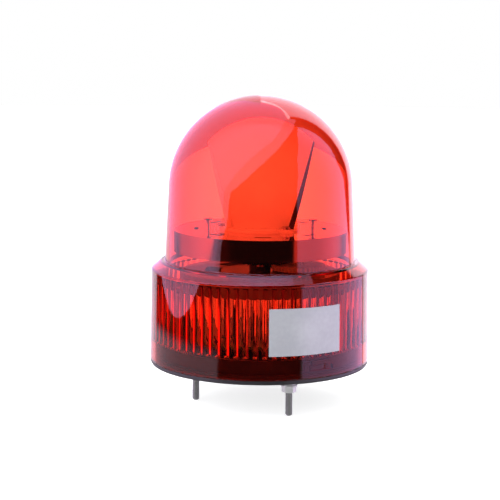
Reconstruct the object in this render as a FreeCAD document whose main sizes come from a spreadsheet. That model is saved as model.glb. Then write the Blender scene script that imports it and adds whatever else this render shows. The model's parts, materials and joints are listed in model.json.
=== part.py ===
import FreeCAD, Part
import Sketcher
import math
import os
import re

# A rotating beacon for machines: a clear dome-and-skirt lens twists onto a round base by a bayonet.
# Inside, a small motor drives a drum through two gear stages, and the drum carries a parabolic
# mirror round a fixed lamp tower.  Millimetres, +Z up, origin at the middle of the mounting face,
# -Y is the front.  Angles named "bearing" are counted from the front (-Y) towards +X.

doc = FreeCAD.newDocument("RotatingBeacon")
sheet = doc.addObject("Spreadsheet::Sheet", "Sizes")

sizes = {
    # lens: skirt, shoulder and dome
    "lens_wall": 2.5,
    "skirt_foot_radius": 60.0,
    "skirt_taper": 0.74,
    "skirt_head": 52.0,
    "shoulder_radius": 54.0,
    "shoulder_top": 56.6,
    "dome_foot_radius": 52.04,
    "dome_draft": 2.8,
    "dome_top": 146.1,
    "flute_count": 72,
    "flute_foot": 13.6,
    "flute_head": 50.6,
    "flute_depth": 1.3,
    "flute_root_width": 4.3,
    "flute_crest_width": 1.2,
    "flute_sink": 0.6,
    "lug_count": 3,
    "lug_foot": 6.2,
    "lug_height": 2.4,
    "lug_reach": 2.0,
    "lug_arc": 14,
    "lug_bearing": 34,
    "mark_foot": 7.2,
    "mark_height": 2.7,
    "mark_depth": 0.5,
    "mark_arc": 1.3,
    "twist_angle": 15,
    "catch_gap": 0.3,
    "catch_height": 2.2,
    "catch_stop_arc": 3,
    # rating label on the skirt
    "label_foot": 15.2,
    "label_height": 24.8,
    "label_bearing": 24.3,
    "label_arc": 39.8,
    "label_thickness": 0.15,
    # base moulding and its seals
    "gasket_thickness": 0.8,
    "gasket_inset": 0.7,
    "gasket_width": 12.3,
    "flange_inset": 0.2,
    "flange_thickness": 1.4,
    "lens_float": 0.15,
    "spigot_gap": 2.7,
    "spigot_wall": 2.4,
    "spigot_top": 12.0,
    "recess_inset": 14.0,
    "floor_foot": 4.4,
    "floor_thickness": 2.6,
    "seal_height": 2.4,
    "seal_gap": 0.35,
    "seal_lip": 0.5,
    "base_rib_count": 12,
    "base_rib_width": 1.8,
    "grommet_neck_radius": 6.0,
    "grommet_bore_radius": 3.5,
    "grommet_lip": 2.0,
    "grommet_lip_height": 1.8,
    # three mounting studs and what is on them
    "stud_count": 3,
    "stud_circle": 70.0,
    "stud_bearing": 27.0,
    "stud_radius": 2.0,
    "stud_reach": 23.0,
    "stud_clearance": 0.1,
    "stud_head_flats": 7.0,
    "stud_head_height": 2.6,
    "stud_boss_radius": 6.0,
    "stud_boss_top": 10.5,
    "nut_top": 6.9,
    "nut_height": 3.2,
    "nut_flats": 7.0,
    "washer_radius": 4.5,
    "washer_thickness": 0.8,
    "spring_washer_radius": 3.8,
    "spring_washer_thickness": 1.1,
    "spring_washer_gap": 0.8,
    # pillars between base and deck
    "pillar_bearing": 59.0,
    "pillar_circle_radius": 42.0,
    "pillar_flats": 6.0,
    "pillar_foot": 9.0,
    "pillar_boss_radius": 4.2,
    "screw_radius": 1.5,
    "screw_head_radius": 2.9,
    "screw_head_height": 2.2,
    "screw_grip": 6.0,
    "thread_room": 1.5,
    # gear deck: an inverted tray
    "deck_foot": 42.0,
    "deck_radius": 43.5,
    "deck_wall": 2.0,
    "deck_top": 50.5,
    "deck_plate": 2.5,
    "deck_lug_radius": 4.6,
    "deck_lug_thickness": 2.5,
    "deck_collar_radius": 8.6,
    "deck_collar_depth": 3.0,
    "deck_window_radius": 26.0,
    "deck_window_width": 9.0,
    "deck_window_arc": 44,
    # fixed hollow spindle
    "holder_radius": 5.9,
    "holder_top": 54.4,
    "holder_flange_radius": 9.0,
    "holder_flange": 1.6,
    "spindle_radius": 4.0,
    "spindle_bore_radius": 2.7,
    "spindle_foot": 17.5,
    "spindle_top": 84.0,
    "clip_groove_depth": 0.4,
    "clip_thickness": 0.8,
    "clip_radius": 6.2,
    "clip_gap": 2.6,
    "thrust_washer_radius": 5.9,
    "thrust_washer_thickness": 0.6,
    "axial_play": 0.15,
    "running_gap": 0.06,
    # bushes
    "bush_radius": 6.3,
    "bush_flange_radius": 7.6,
    "bush_flange": 0.9,
    "bush_length": 6.0,
    # turning drum
    "drum_radius": 47.0,
    "drum_wall": 1.8,
    "drum_foot": 62.0,
    "drum_top": 73.6,
    "drum_plate": 2.0,
    "hub_radius": 8.0,
    "hub_foot": 56.0,
    "hub_flange_radius": 15.0,
    "hub_flange": 2.5,
    "drum_rib_count": 8,
    "drum_rib_width": 1.6,
    "drum_rib_depth": 5.0,
    "drum_slot_count": 8,
    "drum_slot_radius": 35.0,
    "drum_slot_width": 2.2,
    "drum_slot_arc": 14,
    "drum_slot_bearing": 2,
    "peg_bearing": 88,
    "peg_circle_radius": 28.5,
    "peg_radius": 0.9,
    "peg_height": 4.6,
    "peg_head_radius": 2.4,
    "peg_head": 1.0,
    # gear train
    "gear_module": 0.7,
    "drum_teeth": 48,
    "drum_gear_width": 4.8,
    "idler_pinion_teeth": 12,
    "idler_pinion_top": 60.9,
    "idler_wheel_teeth": 40,
    "idler_wheel_foot": 51.3,
    "idler_wheel_width": 3.0,
    "motor_pinion_teeth": 12,
    "motor_pinion_foot": 50.9,
    "motor_pinion_width": 3.8,
    "tooth_thinning": 0.15,
    "gear_screw_circle_radius": 11.8,
    "small_screw_radius": 1.0,
    "small_screw_head_radius": 1.9,
    "small_screw_head_height": 1.4,
    "small_screw_grip": 4.0,
    "idler_bearing": 90,
    "axle_radius": 1.5,
    "axle_foot": 46.5,
    "axle_top": 62.1,
    "axle_boss_radius": 3.2,
    "axle_boss_top": 51.2,
    "axle_clip_radius": 2.8,
    # motor
    "motor_bearing": 140.0,
    "motor_radius": 12.2,
    "motor_length": 12.3,
    "motor_nose_radius": 3.0,
    "motor_nose": 1.5,
    "motor_nose_gap": 0.2,
    "motor_shaft_radius": 1.0,
    "motor_shaft_top": 55.2,
    "motor_cap_radius": 9.5,
    "motor_cap_height": 1.4,
    "motor_screw_spread": 8.0,
    # mirror
    "focus_height": 97.0,
    "focal_length": 20.0,
    "mirror_wall": 1.6,
    "mirror_foot_half_width": 17.4,
    "mirror_waist_half_width": 28.6,
    "mirror_waist": 121.0,
    "mirror_top": 134.0,
    "mirror_base": 1.8,
    "mirror_base_radius": 21.0,
    "mirror_base_bore_radius": 9.5,
    "mirror_ear_radius": 3.6,
    "mirror_ear_circle_radius": 21.5,
    "mirror_ear_bearing": 40,
    # lamp tower
    "tower_width": 12.0,
    "tower_foot": 78.0,
    "tower_top": 106.0,
    "tower_socket": 6.0,
    "led_board_width": 10.0,
    "led_board_foot": 85.0,
    "led_board_height": 19.0,
    "led_board_thickness": 1.0,
    "led_radius": 2.2,
    "led_height": 1.3,
    "led_pitch": 9.0,
    "led_low": 90.0,
    "tower_cap": 2.2,
    # driver board
    "board_radius": 36.5,
    "board_foot": 14.0,
    "board_thickness": 1.6,
    "board_post_radius": 3.2,
    "board_post_circle_radius": 30.0,
    "board_post_bearing": 85,
    "board_screw_radius": 1.25,
    "board_screw_head_radius": 2.4,
    "board_screw_head_height": 1.7,
    "board_screw_grip": 5.0,
    "terminal_left": -33.0,
    "terminal_front": -4.0,
    "terminal_width": 8.4,
    "terminal_length": 15.0,
    "terminal_height": 10.5,
    "capacitor_radius": 5.0,
    "capacitor_height": 11.5,
    "capacitor_circle_radius": 30.6,
    "capacitor_bearing": 119.0,
    "capacitor_spread": 33.0,
    "inductor_radius": 4.5,
    "inductor_height": 5.0,
    "inductor_circle_radius": 16.0,
    "inductor_bearing": 158.0,
    "chip_height": 1.8,
    "chip_width": 6.0,
    "chip_circle_radius": 16.0,
    "chip_bearing": -50.0,
    "chip_spread": 65.0,
}
for row, (word, number) in enumerate(sizes.items(), start=1):
    sheet.set(f"A{row}", word)
    sheet.set(f"B{row}", str(number))
    sheet.setAlias(f"B{row}", word)
doc.recompute()


def bound(text):
    """The same formula with every size written as a cell of the sheet."""
    return re.sub(r"[a-z][a-z_]*", lambda m: "Sizes." + m[0] if m[0] in sizes else m[0], str(text))


def size(text):
    """The number that a formula of sizes comes to."""
    return float(sheet.evalExpression(bound(text)))


def plus(*terms):
    return "(" + " + ".join(terms) + ")"


# Heights and radii that follow from the driving sizes
flange_foot = "gasket_thickness"
flange_top = plus(flange_foot, "flange_thickness")
lens_foot = plus(flange_top, "lens_float")
floor_top = plus("floor_foot", "floor_thickness")
skirt_head_radius = "(skirt_foot_radius - skirt_taper)"
skirt_slope = f"(skirt_taper / (skirt_head - ({lens_foot})))"
dome_rise = "(dome_top - shoulder_top)"
dome_sphere = (
    f"((dome_foot_radius * cos(dome_draft) - {dome_rise} * sin(dome_draft)) / (1 - sin(dome_draft)))"
)
dome_centre = f"(dome_top - {dome_sphere})"
lens_bore = "(skirt_foot_radius - lens_wall)"
gasket_radius = "(skirt_foot_radius - gasket_inset)"
gasket_inner_radius = f"({gasket_radius} - gasket_width)"
flange_radius = "(skirt_foot_radius - flange_inset)"
recess_radius = "(skirt_foot_radius - recess_inset)"
spigot_radius = f"({lens_bore} - spigot_gap)"
stud_ring = "(stud_circle / 2)"
deck_plate_foot = "(deck_top - deck_plate)"
deck_collar_foot = f"({deck_plate_foot} - deck_collar_depth)"
drum_gear_top = "(hub_foot + drum_gear_width)"
idler_distance = "(gear_module * (drum_teeth + idler_pinion_teeth) / 2)"
motor_distance = "(gear_module * (idler_wheel_teeth + motor_pinion_teeth) / 2)"
# the motor stands where its circle about the idler meets the bearing chosen for it
idler_to_motor = "(motor_bearing - idler_bearing)"
motor_ring = (
    f"({idler_distance} * cos{idler_to_motor}"
    f" + sqrt({motor_distance}^2 - ({idler_distance} * sin{idler_to_motor})^2))"
)
motor_foot = f"({deck_plate_foot} - motor_length)"
tower_half = "(tower_width / 2)"
board_top = "(board_foot + board_thickness)"


def across(ring, bearing):
    """X of a place on a ring at a bearing."""
    return f"({ring}) * sin({bearing})"


def ahead(ring, bearing):
    """Y of a place on a ring at a bearing."""
    return f"-({ring}) * cos({bearing})"


def ring_places(ring, first, count):
    """Evenly spaced places on a ring, as pairs of formulas."""
    bearings = [f"{first} + {step} * 360 / {count}" for step in range(count)]
    return [(across(ring, bearing), ahead(ring, bearing)) for bearing in bearings]


centre = ("0", "0")
idler_place = (across(idler_distance, "idler_bearing"), ahead(idler_distance, "idler_bearing"))
motor_place = (across(motor_ring, "motor_bearing"), ahead(motor_ring, "motor_bearing"))
stud_places = ring_places(stud_ring, "stud_bearing", 3)
pillar_places = [
    (across("pillar_circle_radius", bearing), ahead("pillar_circle_radius", bearing))
    for bearing in ("pillar_bearing", "180 - pillar_bearing", "180 + pillar_bearing", "-pillar_bearing")
]
board_post_places = ring_places("board_post_circle_radius", "board_post_bearing", 3)
gear_screw_places = ring_places("gear_screw_circle_radius", "0", 3)
mirror_ear_places = ring_places("mirror_ear_circle_radius", "mirror_ear_bearing", 3)
motor_screw_places = [
    (f"{motor_place[0]} + motor_screw_spread", motor_place[1]),
    (f"{motor_place[0]} - motor_screw_spread", motor_place[1]),
]

kept = []  # the finished pieces, in the order they are made


def body(label):
    piece = doc.addObject("PartDesign::Body", label)
    piece.Label = label
    kept.append(piece)
    return piece


def plane_of(piece, role):
    return next(item for item in piece.Origin.OriginFeatures if item.Role == role)


def sketch_on(piece, role="XY_Plane", lift="0"):
    """An empty sketch on one of the body's own planes, moved along the plane's normal by lift."""
    sketch = piece.newObject("Sketcher::SketchObject", "Sketch")
    sketch.AttachmentSupport = [(plane_of(piece, role), "")]
    sketch.MapMode = "FlatFace"
    sketch.AttachmentOffset = FreeCAD.Placement(FreeCAD.Vector(0, 0, size(lift)), FreeCAD.Rotation())
    sketch.setExpression(".AttachmentOffset.Base.z", bound(lift))
    return sketch


def pin_down(sketch, item, end, spot, only=None):
    """Fix one point of a sketch by its two formulas, or by one of them."""
    for kind, text, axis in (("DistanceX", spot[0], -2), ("DistanceY", spot[1], -1)):
        if only and kind != only:
            continue
        number = size(text)
        if str(text) == "0":
            sketch.addConstraint(Sketcher.Constraint("PointOnObject", item, end, axis))
        else:
            index = sketch.addConstraint(Sketcher.Constraint(kind, -1, 1, item, end, number))
            sketch.setExpression(f"Constraints[{index}]", bound(text))


def vector(spot):
    return FreeCAD.Vector(size(spot[0]), size(spot[1]), 0)


def add_arc(sketch, start, half, end):
    """An arc through three points, always drawn anticlockwise, as sketches keep their arcs."""
    turn = (half - start).cross(end - half).z
    return sketch.addGeometry(Part.Arc(start, half, end) if turn > 0 else Part.Arc(end, half, start))


def draw_outline(sketch, corners):
    """A closed outline through corners.  A corner with four entries ends an arc: its last two are
    the arc's centre, and only its second coordinate is fixed, because the centre gives the first."""
    first = sketch.GeometryCount
    points = [vector(corner) for corner in corners]
    for start, end, corner in zip(points, points[1:] + points[:1], corners[1:] + corners[:1]):
        if len(corner) == 2:
            sketch.addGeometry(Part.LineSegment(start, end))
            continue
        middle = vector(corner[2:])
        radius = (start - middle).Length
        half = middle + (((start - middle) + (end - middle)).normalize() * radius)
        add_arc(sketch, start, half, end)
    count = len(corners)
    for step in range(count):
        here, after = first + step, first + (step + 1) % count
        here_end = arc_end(sketch, here, points[(step + 1) % count])
        after_start = arc_end(sketch, after, points[(step + 1) % count])
        sketch.addConstraint(Sketcher.Constraint("Coincident", here, here_end, after, after_start))
    for step, corner in enumerate(corners):
        item = first + step
        end = arc_end(sketch, item, points[step])
        if len(corner) == 2:
            pin_down(sketch, item, end, corner)
        else:
            pin_down(sketch, item, end, corner, only="DistanceX" if corner[0] == "0" else "DistanceY")
            arc = first + (step - 1) % count
            pin_down(sketch, arc, 3, corner[2:])


def arc_end(sketch, item, point):
    """Which end of an edge lies at a point: 1 is its start and 2 its end."""
    edge = sketch.Geometry[item]
    return 1 if (edge.StartPoint - point).Length < (edge.EndPoint - point).Length else 2


def draw_circle(sketch, spot, radius):
    item = sketch.addGeometry(Part.Circle(vector(spot), FreeCAD.Vector(0, 0, 1), size(radius)))
    if spot == centre:
        sketch.addConstraint(Sketcher.Constraint("Coincident", item, 3, -1, 1))
    else:
        pin_down(sketch, item, 3, spot)
    index = sketch.addConstraint(Sketcher.Constraint("Radius", item, size(radius)))
    sketch.setExpression(f"Constraints[{index}]", bound(radius))
    return item


def draw_hexagon(sketch, spot, flats):
    """A hexagon about a spot, with two of its flats parallel to the sketch's X."""
    reach = f"({flats}) / sqrt(3)"
    corners = [
        (f"{spot[0]} + {reach} * cos({turn})", f"{spot[1]} + {reach} * sin({turn})")
        for turn in range(0, 360, 60)
    ]
    draw_outline(sketch, corners)


def draw_box(sketch, low, high):
    draw_outline(sketch, [low, (high[0], low[1]), high, (low[0], high[1])])


def draw_sector(sketch, inner, outer, bearing, arc):
    """A patch of a ring, told by its two radii, the bearing of its middle and its arc."""
    sides = [f"{bearing} - {arc} / 2", f"{bearing} + {arc} / 2"]
    spots = [(across(inner, sides[0]), ahead(inner, sides[0])),
             (across(outer, sides[0]), ahead(outer, sides[0])),
             (across(outer, sides[1]), ahead(outer, sides[1])),
             (across(inner, sides[1]), ahead(inner, sides[1]))]
    points = [vector(spot) for spot in spots]
    middle = [vector((across(ring, bearing), ahead(ring, bearing))) for ring in (inner, outer)]
    first = sketch.addGeometry(Part.LineSegment(points[0], points[1]))
    add_arc(sketch, points[1], middle[1], points[2])
    sketch.addGeometry(Part.LineSegment(points[2], points[3]))
    add_arc(sketch, points[3], middle[0], points[0])
    for step in range(4):
        here, after, point = first + step, first + (step + 1) % 4, points[(step + 1) % 4]
        ends = arc_end(sketch, here, point), arc_end(sketch, after, point)
        sketch.addConstraint(Sketcher.Constraint("Coincident", here, ends[0], after, ends[1]))
    for step in (1, 3):
        sketch.addConstraint(Sketcher.Constraint("Coincident", first + step, 3, -1, 1))
    for step in (0, 1):
        pin_down(sketch, first, step + 1, spots[step])
    for step in (2, 3):
        # the arcs already give the radius, so one coordinate is enough: the one that moves more
        lean = abs(math.sin(math.radians(size(sides[1]))))
        pin_down(sketch, first + 2, step - 1, spots[step], only="DistanceY" if lean > 0.7 else "DistanceX")


def check_bulk(piece, before, grows):
    """A feature that adds must add, and a feature that cuts must cut."""
    doc.recompute()
    after = piece.Shape.Volume
    if (after <= before + 1e-6) if grows else (after >= before - 1e-6):
        raise ValueError(f"{piece.Label}: a feature changed nothing ({before:.3f} to {after:.3f})")


def bulk(piece):
    doc.recompute()
    return 0.0 if piece.Shape.isNull() else piece.Shape.Volume


def pad(piece, sketch, length):
    before = bulk(piece)
    feature = piece.newObject("PartDesign::Pad", "Pad")
    feature.Profile = sketch
    feature.setExpression("Length", bound(length))
    check_bulk(piece, before, True)
    return feature


def pocket(piece, sketch, depth, upward=True):
    """Cuts from the sketch's plane by a depth, upward unless told otherwise."""
    before = bulk(piece)
    feature = piece.newObject("PartDesign::Pocket", "Pocket")
    feature.Profile = sketch
    feature.setExpression("Length", bound(depth))
    feature.Reversed = upward
    check_bulk(piece, before, False)
    return feature


def revolve(piece, corners):
    sketch = sketch_on(piece, "XZ_Plane")
    draw_outline(sketch, corners)
    feature = piece.newObject("PartDesign::Revolution", "Revolution")
    feature.Profile = sketch
    feature.ReferenceAxis = (sketch, ["V_Axis"])
    feature.Angle = 360
    check_bulk(piece, 0.0, True)
    return feature


def repeat_round(piece, feature, count):
    """The same feature a number of times, evenly round the body's Z axis."""
    pattern = piece.newObject("PartDesign::PolarPattern", "PolarPattern")
    pattern.Originals = [feature]
    pattern.Axis = (plane_of(piece, "Z_Axis"), [""])
    pattern.Angle = 360
    pattern.setExpression("Occurrences", bound(count))
    piece.Tip = pattern
    doc.recompute()
    return pattern


def pad_circles(piece, places, radius, low, high):
    sketch = sketch_on(piece, lift=low)
    for spot in places:
        draw_circle(sketch, spot, radius)
    return pad(piece, sketch, f"({high}) - ({low})")


def cut_circles(piece, places, radius, low, high):
    sketch = sketch_on(piece, lift=low)
    for spot in places:
        draw_circle(sketch, spot, radius)
    return pocket(piece, sketch, f"({high}) - ({low})")


def pad_ring(piece, spot, outer, inner, low, high):
    sketch = sketch_on(piece, lift=low)
    draw_circle(sketch, spot, outer)
    draw_circle(sketch, spot, inner)
    return pad(piece, sketch, f"({high}) - ({low})")


def screws(label, places, shank, head, seat, head_end, tip):
    """A group of pan-head screws: the head runs from seat to head_end and the shank from seat to tip."""
    piece = body(label)
    head_low, head_high = (seat, head_end) if size(head_end) > size(seat) else (head_end, seat)
    shank_low, shank_high = (tip, seat) if size(tip) < size(seat) else (seat, tip)
    pad_circles(piece, places, head, head_low, head_high)
    pad_circles(piece, places, shank, shank_low, shank_high)
    return piece


def shape_piece(label, shape):
    """A piece whose form is worked out in code from the sheet's sizes."""
    piece = doc.addObject("Part::Feature", label)
    piece.Label = label
    piece.Shape = shape
    kept.append(piece)
    return piece


# ---- lens ----

def make_lens():
    lens = body("lens_globe")
    neck = "(dome_foot_radius - lens_wall)"
    start = (f"{dome_sphere} * cos(dome_draft)", f"{dome_centre} + {dome_sphere} * sin(dome_draft)")
    inner = f"({dome_sphere} - lens_wall)"
    inner_start = (f"{inner} * cos(dome_draft)", f"{dome_centre} + {inner} * sin(dome_draft)")
    # the neck's inner face keeps the dome's draft, so it meets the inner sphere without a crease
    neck_foot = "(shoulder_top - lens_wall)"
    neck_radius = f"{inner_start[0]} + ({inner_start[1]} - {neck_foot}) * tan(dome_draft)"
    revolve(lens, [
        ("skirt_foot_radius", lens_foot),
        (skirt_head_radius, "skirt_head"),
        ("shoulder_radius", "shoulder_top"),
        ("dome_foot_radius", "shoulder_top"),
        start,
        ("0", "dome_top", "0", dome_centre),
        ("0", "dome_top - lens_wall"),
        (*inner_start, "0", dome_centre),
        (neck_radius, neck_foot),
        ("shoulder_radius - lens_wall / 2", neck_foot),
        (f"{skirt_head_radius} - lens_wall", "skirt_head - lens_wall / 2"),
        (lens_bore, lens_foot),
    ])
    flute = sketch_on(lens, lift="flute_foot")
    crest = f"({lens_bore} - flute_depth)"
    root = f"({lens_bore} + flute_sink)"
    draw_outline(flute, [
        (crest, "-flute_crest_width / 2"),
        (root, "-flute_root_width / 2"),
        (root, "flute_root_width / 2"),
        (crest, "flute_crest_width / 2"),
    ])
    repeat_round(lens, pad(lens, flute, "flute_head - flute_foot"), "flute_count")
    lug = sketch_on(lens, lift="lug_foot")
    draw_sector(lug, f"({lens_bore} - lug_reach)", f"({lens_bore} + lens_wall / 2)", "lug_bearing", "lug_arc")
    repeat_round(lens, pad(lens, lug, "lug_height"), "lug_count")
    # an upright notch outside one lug shows which way the lens has been turned
    mark = sketch_on(lens, lift="mark_foot")
    draw_sector(mark, "(skirt_foot_radius - mark_depth)", "(skirt_foot_radius + 1)",
                "lug_bearing", "mark_arc")
    pocket(lens, mark, "mark_height")
    return lens


def make_label():
    """A thin patch wrapped on the skirt's drafted face."""
    label = body("rating_label")
    foot_radius = f"(skirt_foot_radius - (label_foot - {lens_foot}) * {skirt_slope})"
    head_radius = f"({foot_radius} - label_height * {skirt_slope})"
    sketch = sketch_on(label, "XZ_Plane")
    draw_outline(sketch, [
        (foot_radius, "label_foot"),
        (f"{foot_radius} + label_thickness", "label_foot"),
        (f"{head_radius} + label_thickness", "label_foot + label_height"),
        (head_radius, "label_foot + label_height"),
    ])
    wrap = label.newObject("PartDesign::Revolution", "Revolution")
    wrap.Profile = sketch
    wrap.ReferenceAxis = (sketch, ["V_Axis"])
    wrap.Midplane = True
    wrap.setExpression("Angle", bound("label_arc"))
    doc.recompute()
    label.Placement = FreeCAD.Placement(FreeCAD.Vector(), FreeCAD.Rotation(FreeCAD.Vector(0, 0, 1), 0))
    label.setExpression(".Placement.Rotation.Angle", bound("label_bearing - 90"))
    doc.recompute()
    return label


# ---- base ----

def make_base():
    base = body("base_plate")
    revolve(base, [
        (recess_radius, flange_foot),
        (flange_radius, flange_foot),
        (flange_radius, flange_top),
        (spigot_radius, flange_top),
        (spigot_radius, "spigot_top"),
        (f"{spigot_radius} - spigot_wall", "spigot_top"),
        (f"{spigot_radius} - spigot_wall", floor_top),
        ("grommet_neck_radius", floor_top),
        ("grommet_neck_radius", "floor_foot"),
        (f"{recess_radius} - 1.2", "floor_foot"),
    ])
    rib = sketch_on(base, lift=flange_foot)
    draw_box(rib, ("grommet_neck_radius + grommet_lip + 1", "-base_rib_width / 2"),
             (f"{recess_radius} + 1", "base_rib_width / 2"))
    repeat_round(base, pad(base, rib, f"{floor_top} - 1 - {flange_foot}"), "base_rib_count")
    pad_circles(base, stud_places, "stud_boss_radius", flange_foot, "stud_boss_top")
    pad_circles(base, pillar_places, "pillar_boss_radius", "floor_foot", "pillar_foot")
    pad_circles(base, board_post_places, "board_post_radius", "floor_foot + 1", "board_foot")
    cut_circles(base, stud_places, "stud_radius + stud_clearance", flange_foot, "stud_boss_top")
    seat = sketch_on(base, lift="stud_boss_top - stud_head_height")
    for spot in stud_places:
        draw_hexagon(seat, spot, "stud_head_flats + stud_clearance * 2")
    pocket(base, seat, "stud_head_height")
    cut_circles(base, pillar_places, "screw_radius + stud_clearance", "floor_foot", "pillar_foot")
    head_room = "screw_head_radius + 0.6"
    cut_circles(base, pillar_places, head_room, flange_foot, "floor_foot")
    cut_circles(base, board_post_places, "board_screw_radius",
                "board_foot - board_screw_grip - thread_room", "board_foot")
    # bayonet catches on the spigot, each with a stop at the end where the lens comes home
    lug_top = "(lug_foot + lug_height)"
    catch_radius = f"({lens_bore} - seal_gap - 0.1)"
    catch = sketch_on(base, lift=f"{lug_top} + catch_gap")
    draw_sector(catch, f"({spigot_radius} - spigot_wall / 2)", catch_radius, "lug_bearing", "(lug_arc - 2)")
    repeat_round(base, pad(base, catch, "catch_height"), "lug_count")
    stop = sketch_on(base, lift="lug_foot")
    stop_bearing = "(lug_bearing - lug_arc / 2 - catch_stop_arc / 2 - 0.5)"
    draw_sector(stop, f"({spigot_radius} - spigot_wall / 2)", catch_radius, stop_bearing, "catch_stop_arc")
    repeat_round(base, pad(base, stop, "lug_height + catch_gap + catch_height"), "lug_count")
    return base


def make_base_hardware():
    seal = body("lens_seal")
    seal_radius = f"({lens_bore} - seal_gap)"
    revolve(seal, [
        (spigot_radius, flange_top),
        (seal_radius, flange_top),
        (f"{seal_radius} - seal_lip", f"{flange_top} + seal_height / 2"),
        (seal_radius, f"{flange_top} + seal_height"),
        (spigot_radius, f"{flange_top} + seal_height"),
    ])
    gasket = body("mounting_gasket")
    pad_ring(gasket, centre, gasket_radius, gasket_inner_radius, "0", "gasket_thickness")

    studs = body("mounting_studs")
    head = sketch_on(studs, lift="stud_boss_top - stud_head_height")
    for spot in stud_places:
        draw_hexagon(head, spot, "stud_head_flats")
    pad(studs, head, "stud_head_height")
    pad_circles(studs, stud_places, "stud_radius", "-stud_reach", "stud_boss_top - stud_head_height")

    washer_foot = "(-nut_top)"
    spring_foot = f"({washer_foot} + washer_thickness)"
    washers = body("plain_washers")
    rings = sketch_on(washers, lift=washer_foot)
    for spot in stud_places:
        draw_circle(rings, spot, "washer_radius")
        draw_circle(rings, spot, "stud_radius + stud_clearance")
    pad(washers, rings, "washer_thickness")

    springs = body("spring_washers")
    rings = sketch_on(springs, lift=spring_foot)
    for spot in stud_places:
        draw_circle(rings, spot, "spring_washer_radius")
        draw_circle(rings, spot, "stud_radius + stud_clearance")
    pad(springs, rings, "spring_washer_thickness")
    split = sketch_on(springs, lift=spring_foot)
    for spot in stud_places:
        draw_box(split, (spot[0], f"{spot[1]} - spring_washer_gap / 2"),
                 (f"{spot[0]} + spring_washer_radius + 1", f"{spot[1]} + spring_washer_gap / 2"))
    pocket(springs, split, "spring_washer_thickness")

    nuts = body("stud_nuts")
    hexes = sketch_on(nuts, lift="-nut_top - nut_height")
    for spot in stud_places:
        draw_hexagon(hexes, spot, "nut_flats")
        draw_circle(hexes, spot, "stud_radius")
    pad(nuts, hexes, "nut_height")

    grommet = body("cable_grommet")
    lip = "(grommet_neck_radius + grommet_lip)"
    revolve(grommet, [
        ("grommet_bore_radius", "floor_foot - grommet_lip_height"),
        (f"{lip} - 0.8", "floor_foot - grommet_lip_height"),
        (lip, "floor_foot"),
        ("grommet_neck_radius", "floor_foot"),
        ("grommet_neck_radius", floor_top),
        (lip, floor_top),
        (f"{lip} - 0.8", f"{floor_top} + grommet_lip_height"),
        ("grommet_bore_radius", f"{floor_top} + grommet_lip_height"),
    ])


# ---- frame: pillars, deck and spindle ----

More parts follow.
